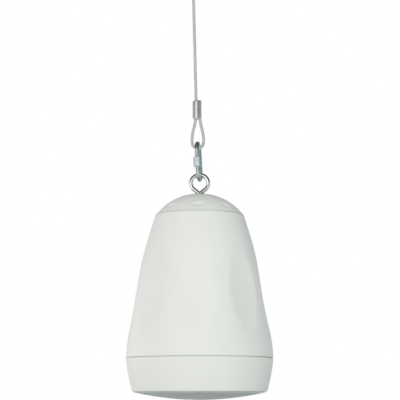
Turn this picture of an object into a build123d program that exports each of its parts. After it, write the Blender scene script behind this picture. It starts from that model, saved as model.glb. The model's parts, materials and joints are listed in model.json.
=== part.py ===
from build123d import *
from math import cos, pi, radians, sin, sqrt, tan
import os

# A bell-shaped pendant speaker on a coated wire rope, in millimetres.
# The origin is the centre of the ceiling fitting's top face, and +Z is up.
# Heights named with h_ are measured up from the bottom ring's rim, on the speaker's axis.

# Clearances
hang_gap = 0.3
thread_clearance = 0.05
crimp_clearance = 0.05

# Ceiling fitting
fitting_r = 32.0
fitting_height = 24.0
fitting_flange_t = 3.0
fitting_flange_width = 12.0
fitting_wall = 3.0
fitting_screw_inset = 6.5
fitting_screw_hole_r = 2.25
fitting_screw_head_r = 4.2
fitting_rope_clearance = 0.6
fitting_ball_clearance = 3.0
end_ball_r = 5.0

# Rope, ferrule and loop
rope_d = 4.2
rope_lean_deg = 1.5
rope_run = 164.2
ferrule_wall = 1.9
ferrule_length = 25.4
ferrule_edge = 1.0
ferrule_offset = 1.25
strand_gap = 0.3
loop_half_width = 8.1
loop_shoulder_h = 18.5
loop_shoulder_to_neck = 20.5
loop_neck_to_ferrule = 1.5
stub_length = 1.5

# Quick link
wire_d = 6.4
link_leg_spacing = 18.4
link_length = 50.0
link_lean_x = 2.6
link_turn_deg = 9.5
link_gap_low = 19.5
link_gap = 7.5
sleeve_length = 14.0
sleeve_wall = 1.9
sleeve_chamfer = 0.6

# Eye bolt
eye_wire_d = 5.6
eye_half_width = 11.85
eye_slope = 0.85
eye_shoulder_r = 8.0
eye_straight = 1.3
eye_crown_flat = 0.02
eye_bend_r = 3.4
eye_tail = 2.5
eye_washer_r = 8.0
eye_washer_t = 0.8
eye_washer_clearance = 0.55
nut_across_flats = 10.0
nut_t = 5.0

# Bottom ring
rim_r = 91.2
ring_flare = 8.7
ring_bulge = 1.05
ring_rim_wall = 1.3
seam_h = 43.9
seam_gap = 1.2
seam_depth = 1.9
seam_step = 0.1
spigot_height = 7.6
spigot_wall = 2.7
spigot_clearance = 1.0
shelf_h = 9.0
shelf_t = 3.0
shelf_width = 10.7

# Housing
housing_height = 193.5
housing_top_r = 61.1
housing_wall = 3.0
ledge_drop = 9.6
ledge_t = 8.0
ledge_width = 8.5
recess_axis_r = 395.0
recess_cutter_t = 60.0
boss_r = 4.5
boss_rise = 29.6
boss_angle = 45
web_t = 3.0

# Outline of the bell, as shares of the way in and of the way up from its foot
bell_shares = [(0.041, 0.102), (0.160, 0.2565), (0.2945, 0.438), (0.488, 0.642), (0.747, 0.8355)]

# Depth of a recess's floor at places along that outline, from 0 at the foot to 1 at the top
recess_depths = [
    (0.125, -0.9),
    (0.160, 0.1),
    (0.212, 1.35),
    (0.305, 2.95),
    (0.430, 4.06),
    (0.552, 3.14),
    (0.715, 0.82),
    (0.830, -0.7),
    (0.860, -1.3),
]

# Top cap
cap_gap = 0.6
cap_skirt_step = 0.3
cap_skirt_height = 1.8
cap_corner_in = 1.6
cap_rise = 28.6
cap_wall = 3.0
cap_seat_step = 1.4
cap_spigot_clearance = 0.4
cap_spigot_wall = 2.6
cap_spigot_depth = 3.0
cap_flat_r = 17.0
cap_boss_r = 8.0
cap_boss_length = 8.4
dimple_count = 8
dimple_inset = 6.9
dimple_depth = 1.5
dimple_half_width = 9.25
dimple_half_height = 5.0
feature_turn_deg = -2.6

# Cable inlet
inlet_ring_r = 27.0
inlet_hole_r = 4.5
grommet_lip = 2.0
grommet_lip_t = 1.5
grommet_wall = 1.3

# Baffle and grille
baffle_t = 10.0
baffle_clearance = 0.3
grille_depth = 11.2
grille_edge_drop = 0.96
grille_t = 1.0
grille_border = 10.0
grille_hole_d = 6.0
grille_hole_pitch = 15.0
cloth_t = 0.6

# Driver
frame_clearance = 1.2
frame_width = 12.5
frame_t = 2.5
cutout_clearance = 1.5
driver_gasket_t = 1.0
driver_screw_inset = 6.0
surround_width = 10.7
surround_t = 0.5
cone_depth = 23.4
cone_t = 0.9
spider_t = 0.4
spider_rise = 1.0
spider_waves = 5
spider_overlap = 4.0
dust_cap_r = 15.5
dust_cap_t = 0.5
dust_cap_depth = 5.0
coil_r = 12.6
coil_former_t = 0.25
coil_winding_t = 0.6
coil_winding_height = 10.0
coil_margin = 1.0
coil_clearance = 0.45
pole_clearance = 0.7
pole_vent_r = 4.0
basket_depth = 37.0
basket_plate_t = 2.0
basket_wall = 1.6
basket_over_magnet = 2.0
spider_ledge_drop = 9.2
spider_ledge_width = 9.0
window_margin = 5.0
window_width = 34.0
window_offset = 6.0
basket_lip = 1.0
top_plate_r = 35.0
top_plate_t = 5.0
magnet_r = 40.0
magnet_t = 14.0
magnet_gap = 3.1
magnet_edge = 1.0
back_plate_t = 5.0

# Support plate, transformer, terminals and tap selector
plate_clearance = 0.2
plate_t = 3.0
plate_gasket_t = 1.0
plate_screw_inset = 4.0
core_depth = 22.0
core_drop = 14.0
winding_over_core = 6.0
winding_corner_r = 3.0
strap_t = 1.2
strap_width = 20.0
strap_foot = 14.0
strap_foot_inset = 9.8
terminal_inset = 19.0
terminal_length = 32.0
terminal_width = 14.0
terminal_height = 12.0
terminal_pitch = 9.0
terminal_corner_r = 1.0
terminal_well_r = 2.6
terminal_well_depth = 5.0
terminal_slot = 0.8
wire_entry_r = 1.6
switch_inset = 19.0
switch_size = 18.0
switch_corner_r = 2.0
switch_floor = 2.7
knob_r = 7.0
knob_height = 8.0
knob_edge = 0.8
knob_shaft_r = 3.0
knob_shaft_grip = 6.0
knob_slot = 1.2

# Fasteners
housing_screw_r = 1.9
housing_screw_head_r = 3.5
housing_screw_grip = 14.0
small_screw_r = 1.4
small_screw_head_r = 2.8
screw_tip_cover = 2.0
strap_screw_cover = 0.6

# Wire radii and the ceiling fitting's inner places
rope_r = rope_d / 2
wire_r = wire_d / 2
eye_wire_r = eye_wire_d / 2
rope_hole_r = rope_r + fitting_rope_clearance
fitting_shoulder_r = fitting_r - fitting_flange_width
fitting_neck_r = end_ball_r + fitting_ball_clearance + fitting_wall
fitting_screw_spacing = 2 * (fitting_r - fitting_screw_inset)

# Places along the rope and the link, down from the ceiling
strand_half = rope_d / 2 + strand_gap / 2
ferrule_r = rope_d + strand_gap / 2 + ferrule_wall
loop_neck_h = loop_shoulder_h + loop_shoulder_to_neck
ball_z = fitting_wall - fitting_height + sqrt(end_ball_r**2 - rope_hole_r**2)
main_strand_x = rope_run * tan(radians(rope_lean_deg))
ferrule_top_z = ball_z - rope_run
loop_x = main_strand_x + strand_half
loop_z = ferrule_top_z - ferrule_length - loop_neck_to_ferrule - loop_neck_h
speaker_x = loop_x + link_lean_x
link_top_z = loop_z + rope_r + hang_gap + wire_r
link_foot_z = link_top_z - sqrt(link_length**2 - link_lean_x**2)
sleeve_start = link_gap_low + (link_gap - sleeve_length) / 2
sleeve_across_flats = wire_d + 2 * sleeve_wall

# Radii and heights of the speaker's body, from the rim up
ring_top_r = rim_r + ring_flare
ring_seat_r = ring_top_r - seam_depth
ring_inner_r = rim_r
grille_pocket_r = rim_r - ring_rim_wall
shelf_inner_r = grille_pocket_r - shelf_width
housing_foot_r = ring_top_r - seam_step
housing_foot_h = seam_h + seam_gap
housing_top_h = housing_foot_h + housing_height
spigot_r = housing_foot_r - housing_wall - spigot_clearance
spigot_top_h = housing_foot_h + spigot_height
boss_top_h = housing_foot_h + boss_rise
housing_screw_circle_r = (shelf_inner_r + grille_pocket_r) / 2
ledge_top_h = housing_top_h - ledge_drop

cap_skirt_r = housing_top_r - cap_skirt_step
cap_skirt_h = housing_top_h + cap_gap
cap_corner_r = cap_skirt_r - cap_corner_in
cap_corner_h = cap_skirt_h + cap_skirt_height
cap_sphere_r = (cap_corner_r**2 + cap_rise**2) / (2 * cap_rise)
cap_sphere_h = cap_corner_h + cap_rise - cap_sphere_r
cap_flat_h = cap_sphere_h + sqrt(cap_sphere_r**2 - cap_flat_r**2)
cap_boss_foot_h = cap_flat_h - cap_boss_length
cap_spigot_r = housing_top_r - housing_wall - cap_spigot_clearance
cap_spigot_foot_h = housing_top_h - cap_spigot_depth
dimple_ring_r = cap_corner_r - dimple_inset

plate_r = cap_spigot_r - plate_clearance
plate_screw_circle_r = plate_r - plate_screw_inset
ledge_inner_r = plate_r - ledge_width
plate_foot_h = ledge_top_h + plate_gasket_t
plate_top_h = plate_foot_h + plate_t
core_top_h = plate_foot_h - core_drop

# The transformer's strap, the terminals and the switch lie inside the housing's ledge
strap_outer_y = ledge_inner_r - strap_foot_inset - strap_foot
strap_screw_y = strap_outer_y + strap_foot / 2
core_width = 2 * (strap_outer_y - strap_t)
core_limb = core_width / 6
core_height = 5 * core_limb
terminal_x = terminal_inset - ledge_inner_r
switch_x = ledge_inner_r - switch_inset

# The eye bolt's V rests on the rim of the washer's hole
eye_hole_r = eye_wire_r + eye_washer_clearance
eye_base_h = cap_flat_h + eye_washer_t + eye_wire_r * sqrt(1 + eye_slope**2) - eye_slope * eye_hole_r + thread_clearance
eye_corner_h = eye_base_h + eye_slope * eye_half_width
eye_shoulder_run = eye_shoulder_r * (sqrt(1 + eye_slope**2) - eye_slope)
eye_crown_r = eye_half_width - eye_crown_flat
eye_top_h = eye_corner_h + eye_shoulder_run + eye_straight + eye_half_width
eye_shank_foot_h = plate_foot_h - nut_t - eye_tail
rim_z = link_foot_z - (eye_top_h - eye_wire_r - hang_gap - wire_r)

# The driver's radii and heights, from the shelf that it stands in
baffle_foot_h = shelf_h + shelf_t
baffle_top_h = baffle_foot_h + baffle_t
frame_top_h = baffle_foot_h - driver_gasket_t
frame_foot_h = frame_top_h - frame_t
frame_r = shelf_inner_r - frame_clearance
frame_inner_r = frame_r - frame_width
driver_cutout_r = frame_inner_r + cutout_clearance
driver_screw_circle_r = frame_r - driver_screw_inset
cone_r = frame_inner_r - surround_width
cone_front_h = frame_foot_h + hang_gap
cone_neck_h = cone_front_h + cone_depth
basket_top_h = frame_top_h + basket_depth
basket_neck_r = magnet_r + basket_over_magnet
spider_ledge_h = basket_top_h - spider_ledge_drop
spider_ledge_inner_r = basket_neck_r - spider_ledge_width
basket_side_slope = (driver_cutout_r - hang_gap - basket_neck_r) / (basket_depth - basket_wall)
spider_ledge_outer_r = basket_neck_r + basket_side_slope * (spider_ledge_drop - 2 * basket_wall)
spider_outer_r = spider_ledge_inner_r + spider_overlap
former_outer_r = coil_r + coil_former_t
gap_outer_r = former_outer_r + coil_winding_t + coil_clearance
pole_r = coil_r - pole_clearance
magnet_inner_r = gap_outer_r + magnet_gap

speaker_axis = Axis((speaker_x, 0, 0), (0, 0, 1))
section = Plane(origin=(speaker_x, 0, rim_z), x_dir=(1, 0, 0), z_dir=(0, -1, 0))


def level(h):
    return Plane(origin=(speaker_x, 0, rim_z + h))


def save(builder, name):
    builder.part.label = name
    export_step(builder.part, f"parts/{name}.step")


os.makedirs("parts", exist_ok=True)

# Rope: down from the end ball, round the link in a drop-shaped loop, and back into the ferrule
route = [
    (0, 0, ball_z),
    (main_strand_x, 0, ferrule_top_z),
    (loop_x - strand_half, 0, loop_z + loop_neck_h),
    (loop_x - loop_half_width, 0, loop_z + loop_shoulder_h),
    (loop_x - loop_half_width, 0, loop_z),
    (loop_x + loop_half_width, 0, loop_z),
    (loop_x + loop_half_width, 0, loop_z + loop_shoulder_h),
    (loop_x + strand_half, 0, loop_z + loop_neck_h),
    (loop_x + strand_half, 0, ferrule_top_z + stub_length),
]
route_radii = []
for before, here, after in zip(route, route[1:], route[2:]):
    run_in = Vector(*here) - Vector(*before)
    run_out = Vector(*after) - Vector(*here)
    half_turn = radians(run_in.get_angle(run_out)) / 2
    route_radii.append(0.45 * min(run_in.length, run_out.length) / tan(half_turn))
print("rope bend radii", [round(r, 1) for r in route_radii])
rope_start = Plane(origin=route[0], z_dir=Vector(*route[1]) - Vector(*route[0]))

with BuildPart() as suspension_rope:
    with BuildLine() as rope_line:
        FilletPolyline(*route, radius=route_radii)
    with BuildSketch(rope_start):
        Circle(rope_r)
    sweep(path=rope_line.wire())
rope_length = rope_line.wire().length
print("rope length", round(rope_length, 1), "volume", round(suspension_rope.part.volume, 1))
print("section times length", round(pi * rope_r**2 * rope_length, 1))
save(suspension_rope, "suspension_rope")

with BuildPart() as rope_bore:
    with BuildSketch(rope_start):
        Circle(rope_r + crimp_clearance)
    sweep(path=rope_line.wire())

# Ceiling fitting: a cup with a flange, whose floor holds the rope's end ball
with BuildPart() as ceiling_fitting:
    with BuildSketch(Plane.XZ):
        with BuildLine():
            Polyline(
                (0, 0),
                (fitting_r, 0),
                (fitting_r, -fitting_flange_t),
                (fitting_shoulder_r, -fitting_flange_t),
                (fitting_neck_r, fitting_wall - fitting_height),
                (fitting_neck_r, -fitting_height),
                (0, -fitting_height),
                (0, 0),
            )
        make_face()
    revolve(axis=Axis.Z)
    with BuildSketch(Plane.XY):
        Circle(fitting_shoulder_r - fitting_wall)
    with BuildSketch(Plane.XY.offset(fitting_wall - fitting_height)):
        Circle(fitting_neck_r - fitting_wall)
    loft(mode=Mode.SUBTRACT)
    with BuildSketch(Plane.XY.offset(-fitting_height)):
        Circle(rope_hole_r)
    extrude(amount=fitting_wall, mode=Mode.SUBTRACT)
    with Locations(Plane.XY.offset(-fitting_flange_t).rotated((180, 0, 0))):
        with GridLocations(fitting_screw_spacing, 0, 2, 1):
            CounterSinkHole(fitting_screw_hole_r, fitting_screw_head_r, depth=fitting_flange_t)
save(ceiling_fitting, "ceiling_fitting")

with BuildPart() as rope_end_ball:
    with Locations((0, 0, ball_z)):
        Sphere(end_ball_r)
    add(rope_bore.part, mode=Mode.SUBTRACT)
save(rope_end_ball, "rope_end_ball")

with BuildPart() as rope_ferrule:
    with BuildSketch(Plane(origin=(main_strand_x + ferrule_offset, 0, ferrule_top_z - ferrule_length))):
        Circle(ferrule_r)
    extrude(amount=ferrule_length)
    fillet(rope_ferrule.edges().filter_by(GeomType.CIRCLE), ferrule_edge)
    add(rope_bore.part, mode=Mode.SUBTRACT)
save(rope_ferrule, "rope_ferrule")

# Quick link, drawn flat in its own plane, which leans and turns with the link
link_up = Vector(-link_lean_x, 0, link_top_z - link_foot_z).normalized()
link_across = Vector(sin(radians(link_turn_deg)), cos(radians(link_turn_deg)), 0)
link_across = (link_across - link_up * link_across.dot(link_up)).normalized()
link_face = link_across.cross(link_up)
link_plane = Plane(origin=(speaker_x, 0, link_foot_z), x_dir=link_across, z_dir=link_face)
leg_x = link_leg_spacing / 2

with BuildPart() as quick_link:
    with BuildLine(link_plane) as link_line:
        lower_stub = Line((-leg_x, link_gap_low), (-leg_x, leg_x))
        lower_bend = ThreePointArc(lower_stub @ 1, (0, 0), (leg_x, leg_x))
        back_leg = Line(lower_bend @ 1, (leg_x, link_length - leg_x))
        upper_bend = ThreePointArc(back_leg @ 1, (0, link_length), (-leg_x, link_length - leg_x))
        Line(upper_bend @ 1, (-leg_x, link_gap_low + link_gap))
    with BuildSketch(Plane(origin=lower_stub @ 0, z_dir=lower_stub % 0)):
        Circle(wire_r)
    sweep(path=link_line.wire())
save(quick_link, "quick_link")

sleeve_foot = link_plane.from_local_coords((-leg_x, sleeve_start, 0))
with BuildPart() as link_sleeve:
    with BuildSketch(Plane(origin=sleeve_foot, x_dir=link_face, z_dir=link_up)):
        RegularPolygon(sleeve_across_flats / 2, 6, major_radius=False)
        Circle(wire_r + thread_clearance, mode=Mode.SUBTRACT)
    extrude(amount=sleeve_length)
    sleeve_ends = link_sleeve.edges().filter_by(GeomType.LINE).filter_by(
        lambda edge: abs((edge % 0.5).dot(link_up)) < 0.1
    )
    chamfer(sleeve_ends, sleeve_chamfer)
save(link_sleeve, "link_sleeve")

# Eye bolt: one wire bent to an eye that closes in a V on its shank
with BuildPart() as eye_bolt:
    with BuildLine(section) as near_half:
        FilletPolyline(
            (0, eye_shank_foot_h),
            (0, eye_base_h),
            (-eye_half_width, eye_corner_h),
            (-eye_half_width, eye_top_h),
            (0, eye_top_h),
            radius=[eye_bend_r, eye_shoulder_r, eye_crown_r],
        )
    with BuildSketch(level(eye_shank_foot_h)):
        Circle(eye_wire_r)
    sweep(path=near_half.wire())
    with BuildLine(section) as far_half:
        FilletPolyline(
            (0, eye_top_h),
            (eye_half_width, eye_top_h),
            (eye_half_width, eye_corner_h),
            (eye_wire_r / 2, eye_base_h + eye_slope * eye_wire_r / 2),
            radius=[eye_crown_r, eye_shoulder_r],
        )
    with BuildSketch(Plane(origin=(speaker_x, 0, rim_z + eye_top_h), z_dir=(1, 0, 0))):
        Circle(eye_wire_r)
    sweep(path=far_half.wire())
save(eye_bolt, "eye_bolt")

with BuildPart() as eye_washer:
    with BuildSketch(level(cap_flat_h)):
        Circle(eye_washer_r)
        Circle(eye_hole_r, mode=Mode.SUBTRACT)
    extrude(amount=eye_washer_t)
save(eye_washer, "eye_washer")

with BuildPart() as eye_nuts:
    for nut_foot_h in (plate_top_h, plate_foot_h - nut_t):
        with BuildSketch(level(nut_foot_h)):
            RegularPolygon(nut_across_flats / 2, 6, major_radius=False)
            Circle(eye_wire_r + thread_clearance, mode=Mode.SUBTRACT)
        extrude(amount=nut_t)
save(eye_nuts, "eye_nuts")


# Top cap: a spherical shell with a stepped skirt, an apex boss and oval dimples
def cap_h(r, shell_r):
    return cap_sphere_h + sqrt(shell_r**2 - r**2)


cap_inner_r = cap_sphere_r - cap_wall
spigot_inner_r = cap_spigot_r - cap_spigot_wall
shoulder_mid_r = (cap_corner_r + cap_flat_r) / 2
vault_mid_r = (spigot_inner_r + cap_boss_r) / 2

# A dimple is cut by a barrel that lies across the slope, with its own curve along and around it
across_curve = 1 / (2 * dimple_depth / dimple_half_width**2 - 1 / cap_sphere_r)
slope_curve = 1 / (2 * dimple_depth / dimple_half_height**2 - 1 / cap_sphere_r)
dimple_normal = Vector(dimple_ring_r, 0, cap_h(dimple_ring_r, cap_sphere_r) - cap_sphere_h).normalized()
dimple_plane = Plane(
    origin=(dimple_ring_r, 0, cap_h(dimple_ring_r, cap_sphere_r)),
    x_dir=(0, 1, 0),
    z_dir=Vector(0, 1, 0).cross(dimple_normal),
)
barrel_axis_y = slope_curve - dimple_depth
barrel_half = 1.5 * dimple_half_width
barrel_end_y = -dimple_depth + across_curve - sqrt(across_curve**2 - barrel_half**2)
with BuildPart() as dimple_barrel:
    with BuildSketch(dimple_plane):
        with BuildLine():
            barrel_side = ThreePointArc((-barrel_half, barrel_end_y), (0, -dimple_depth), (barrel_half, barrel_end_y))
            Polyline(barrel_side @ 1, (barrel_half, barrel_axis_y), (-barrel_half, barrel_axis_y), barrel_side @ 0)
        make_face()
    revolve(axis=Axis(dimple_plane.from_local_coords((0, barrel_axis_y, 0)), (0, 1, 0)))

inlet_normal = Vector(0, inlet_ring_r, cap_h(inlet_ring_r, cap_sphere_r) - cap_sphere_h).normalized()
inlet_point = Vector(speaker_x, 0, rim_z + cap_sphere_h) + inlet_normal * cap_sphere_r
inlet_plane = Plane(origin=inlet_point, x_dir=(1, 0, 0), z_dir=inlet_normal)

with BuildPart() as top_cap:
    with BuildSketch(section):
        with BuildLine():
            Polyline((cap_corner_r, cap_corner_h), (cap_skirt_r, cap_skirt_h), (cap_skirt_r - cap_seat_step, cap_skirt_h))
            Polyline(
                (cap_skirt_r - cap_seat_step, cap_skirt_h),
                (cap_skirt_r - cap_seat_step, housing_top_h),
                (cap_spigot_r, housing_top_h),
                (cap_spigot_r, cap_spigot_foot_h),
                (spigot_inner_r, cap_spigot_foot_h),
                (spigot_inner_r, cap_h(spigot_inner_r, cap_inner_r)),
            )
            ThreePointArc(
                (spigot_inner_r, cap_h(spigot_inner_r, cap_inner_r)),
                (vault_mid_r, cap_h(vault_mid_r, cap_inner_r)),
                (cap_boss_r, cap_h(cap_boss_r, cap_inner_r)),
            )
            Polyline(
                (cap_boss_r, cap_h(cap_boss_r, cap_inner_r)),
                (cap_boss_r, cap_boss_foot_h),
                (eye_wire_r + hang_gap, cap_boss_foot_h),
                (eye_wire_r + hang_gap, cap_flat_h),
                (cap_flat_r, cap_flat_h),
            )
            ThreePointArc(
                (cap_flat_r, cap_flat_h),
                (shoulder_mid_r, cap_h(shoulder_mid_r, cap_sphere_r)),
                (cap_corner_r, cap_corner_h),
            )
        make_face()
    revolve(axis=speaker_axis)
    with Locations(level(0)):
        with PolarLocations(0, dimple_count, start_angle=-90 + feature_turn_deg):
            add(dimple_barrel.part, mode=Mode.SUBTRACT)
    with Locations(inlet_plane):
        Cylinder(inlet_hole_r, 4 * cap_wall, mode=Mode.SUBTRACT)
save(top_cap, "top_cap")

# Cable inlet grommet: a rubber ring that grips the cap's wall, behind the apex
with BuildPart() as inlet_grommet:
    with BuildSketch(inlet_plane):
        Circle(inlet_hole_r + grommet_lip)
    extrude(amount=grommet_lip_t)
    with BuildSketch(inlet_plane):
        Circle(inlet_hole_r - hang_gap / 3)
    extrude(amount=-cap_wall - hang_gap)
    with BuildSketch(inlet_plane.offset(-cap_wall - hang_gap)):
        Circle(inlet_hole_r + grommet_lip - hang_gap)
    extrude(amount=-grommet_lip_t)
    fillet(inlet_grommet.edges().filter_by(GeomType.CIRCLE).sort_by(SortBy.RADIUS)[-2:], grommet_lip_t / 3)
    with Locations(inlet_plane):
        Cylinder(inlet_hole_r - grommet_wall, 4 * cap_wall, mode=Mode.SUBTRACT)
save(inlet_grommet, "inlet_grommet")


# Housing: a bell with eight shallow recesses, hollowed to an even wall
with BuildLine(mode=Mode.PRIVATE) as bell:
    Spline(
        (housing_foot_r, housing_foot_h),
        *[
            (housing_foot_r + way_in * (housing_top_r - housing_foot_r), housing_foot_h + way_up * housing_height)
            for way_in, way_up in bell_shares
        ],
        (housing_top_r, housing_top_h),
    )


def bell_side(inset):
    places = [bell.line @ (step / 12) for step in range(13)]
    return [(place.X - inset, place.Y) for place in places]


def recess_cutter(inset):
    floor_places = [(bell.line @ along, depth) for along, depth in recess_depths]
    with BuildPart() as cutter:
        with BuildSketch(Plane.XZ):
            with BuildLine():
                floor = Spline(*[(place.X - depth - inset, place.Y) for place, depth in floor_places])
                outer_r = housing_foot_r + recess_cutter_t
                Polyline(floor @ 1, (outer_r, (floor @ 1).Y), (outer_r, (floor @ 0).Y), floor @ 0)
            make_face()
        revolve(axis=Axis((recess_axis_r, 0, 0), (0, 0, 1)))
    return cutter.part


with BuildPart() as housing_cavity:
    with BuildSketch(section):
        with BuildLine():
            inner_side = Spline(*bell_side(housing_wall))
            Polyline(
                inner_side @ 1,
                (0, housing_top_h),
                (0, housing_foot_h),
                inner_side @ 0,
            )
        make_face()
    revolve(axis=speaker_axis)
    with Locations(level(0)):
        with PolarLocations(0, dimple_count, start_angle=-90 + feature_turn_deg):
            add(recess_cutter(housing_wall), mode=Mode.SUBTRACT)
    with BuildSketch(level(ledge_top_h - ledge_t)):
        Circle(housing_foot_r)
        Circle(ledge_inner_r, mode=Mode.SUBTRACT)
    extrude(amount=ledge_t, mode=Mode.SUBTRACT)
    with BuildSketch(level(housing_foot_h)):
        with PolarLocations(housing_screw_circle_r, 4, start_angle=boss_angle):
            Circle(boss_r)
    extrude(amount=boss_top_h - housing_foot_h, mode=Mode.SUBTRACT)
    with BuildSketch(level(spigot_top_h + hang_gap)):
        with PolarLocations((housing_screw_circle_r + housing_foot_r) / 2, 4, start_angle=boss_angle):
            Rectangle(housing_foot_r - housing_screw_circle_r, web_t)
    extrude(amount=boss_top_h - spigot_top_h - hang_gap, mode=Mode.SUBTRACT)

with BuildPart() as housing_shell:
    with BuildSketch(section):
        with BuildLine():
            outer_side = Spline(*bell_side(0))
            Polyline(outer_side @ 1, (0, housing_top_h), (0, housing_foot_h), outer_side @ 0)
        make_face()
    revolve(axis=speaker_axis)
    with Locations(level(0)):
        with PolarLocations(0, dimple_count, start_angle=-90 + feature_turn_deg):
            add(recess_cutter(0), mode=Mode.SUBTRACT)
    add(housing_cavity.part, mode=Mode.SUBTRACT)
    with BuildSketch(level(baffle_top_h)):
        with PolarLocations(housing_screw_circle_r, 4, start_angle=boss_angle):
            Circle(boss_r)
    extrude(amount=housing_foot_h - baffle_top_h)
    with BuildSketch(level(baffle_top_h)):
        with PolarLocations(housing_screw_circle_r, 4, start_angle=boss_angle):
            Circle(housing_screw_r + thread_clearance)
    extrude(amount=housing_screw_grip + hang_gap, mode=Mode.SUBTRACT)
    with BuildSketch(level(ledge_top_h)):
        with PolarLocations(plate_screw_circle_r, 4, start_angle=boss_angle):
            Circle(small_screw_r + thread_clearance)
    extrude(amount=screw_tip_cover - hang_gap - ledge_t, mode=Mode.SUBTRACT)
save(housing_shell, "housing_shell")

# Bottom ring: outer skin, a seat and spigot for the housing, and the shelf that carries the baffle
with BuildPart() as bottom_ring:
    with BuildSketch(section):
        with BuildLine():
            ThreePointArc((rim_r, 0), ((rim_r + ring_top_r) / 2 + ring_bulge, seam_h / 2), (ring_top_r, seam_h))
            Polyline(
                (ring_top_r, seam_h),
                (ring_seat_r, seam_h),
                (ring_seat_r, housing_foot_h),
                (spigot_r, housing_foot_h),
                (spigot_r, spigot_top_h),
                (spigot_r - spigot_wall, spigot_top_h),
                (spigot_r - spigot_wall, housing_foot_h),
                (ring_inner_r, baffle_top_h),
                (ring_inner_r, baffle_foot_h),
                (shelf_inner_r, baffle_foot_h),
                (shelf_inner_r, shelf_h),
                (grille_pocket_r, shelf_h),
                (grille_pocket_r, 0),
                (rim_r, 0),
            )
        make_face()
    revolve(axis=speaker_axis)
    with BuildSketch(level(shelf_h)):
        with PolarLocations(housing_screw_circle_r, 4, start_angle=boss_angle):
            Circle(housing_screw_r + hang_gap)
    extrude(amount=shelf_t, mode=Mode.SUBTRACT)
save(bottom_ring, "bottom_ring")

# Baffle
with BuildPart() as baffle:
    with BuildSketch(level(baffle_foot_h)):
        Circle(ring_inner_r - baffle_clearance)
        Circle(driver_cutout_r, mode=Mode.SUBTRACT)
        with PolarLocations(housing_screw_circle_r, 4, start_angle=boss_angle):
            Circle(housing_screw_r + hang_gap, mode=Mode.SUBTRACT)
        with PolarLocations(driver_screw_circle_r, 4):
            Circle(small_screw_r + thread_clearance, mode=Mode.SUBTRACT)
    extrude(amount=baffle_t)
save(baffle, "baffle")


# Screws: a round head under or over its seat and a plain shank, one group to a node
def screw_group(name, seat_h, circle_r, start_angle, count, shank_r, head_r, shank_length, head_side):
    head_t = 0.7 * head_r
    with BuildPart() as screws:
        with BuildSketch(level(seat_h)):
            with PolarLocations(circle_r, count, start_angle=start_angle):
                Circle(head_r)
        extrude(amount=head_side * head_t)
        outer_face = screws.faces().sort_by(Axis.Z)[-count:] if head_side > 0 else screws.faces().sort_by(Axis.Z)[:count]
        fillet(outer_face.edges(), 0.6 * head_t)
        with BuildSketch(level(seat_h + head_side * head_t)):
            with PolarLocations(circle_r, count, start_angle=start_angle):
                Rectangle(1.1 * head_r, 0.2 * head_r)
                Rectangle(0.2 * head_r, 1.1 * head_r)
        extrude(amount=-0.5 * head_side * head_t, mode=Mode.SUBTRACT)
        with BuildSketch(level(seat_h)):
            with PolarLocations(circle_r, count, start_angle=start_angle):
                Circle(shank_r)
        extrude(amount=-head_side * shank_length)
    save(screws, name)


screw_group(
    "housing_screws",
    shelf_h,
    housing_screw_circle_r,
    boss_angle,
    4,
    housing_screw_r,
    housing_screw_head_r,
    shelf_t + baffle_t + housing_screw_grip,
    -1,
)
screw_group(
    "driver_screws",
    frame_foot_h,
    driver_screw_circle_r,
    0,
    4,
    small_screw_r,
    small_screw_head_r,
    frame_t + driver_gasket_t + baffle_t - screw_tip_cover,
    -1,
)
screw_group(
    "plate_screws",
    plate_top_h,
    plate_screw_circle_r,
    boss_angle,
    4,
    small_screw_r,
    small_screw_head_r,
    plate_t + plate_gasket_t + ledge_t - screw_tip_cover,
    1,
)


# Grille: a domed sheet with a turned-up edge, and the cloth that lies on its back
grille_r = grille_pocket_r - hang_gap
grille_rise = grille_depth - grille_edge_drop
grille_sphere_r = (grille_r**2 + grille_rise**2) / (2 * grille_rise)
grille_hole_rings = int((grille_r - grille_border - grille_hole_d / 2) / grille_hole_pitch)


def grille_h(r, shell_r):
    return grille_sphere_r - grille_depth - sqrt(shell_r**2 - r**2)


grille_back_r = grille_sphere_r - grille_t
cloth_front_r = grille_back_r - thread_clearance
cloth_back_r = cloth_front_r - cloth_t
with BuildPart() as grille:
    with BuildSketch(section):
        with BuildLine():
            ThreePointArc(
                (0, -grille_depth),
                (grille_r / 2, grille_h(grille_r / 2, grille_sphere_r)),
                (grille_r, grille_h(grille_r, grille_sphere_r)),
            )
            Polyline(
                (grille_r, grille_h(grille_r, grille_sphere_r)),
                (grille_r, shelf_h),
                (grille_r - grille_t, shelf_h),
                (grille_r - grille_t, grille_h(grille_r - grille_t, grille_back_r)),
            )
            ThreePointArc(
                (grille_r - grille_t, grille_h(grille_r - grille_t, grille_back_r)),
                (grille_r / 2, grille_h(grille_r / 2, grille_back_r)),
                (0, grille_t - grille_depth),
            )
            Line((0, grille_t - grille_depth), (0, -grille_depth))
        make_face()
    revolve(axis=speaker_axis)
    with BuildSketch(level(-grille_depth - grille_t)):
        Circle(grille_hole_d / 2)
        for ring in range(1, grille_hole_rings + 1):
            with PolarLocations(ring * grille_hole_pitch, 6 * ring):
                Circle(grille_hole_d / 2)
    extrude(amount=grille_depth + 2 * grille_t, mode=Mode.SUBTRACT)
save(grille, "grille")

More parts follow.
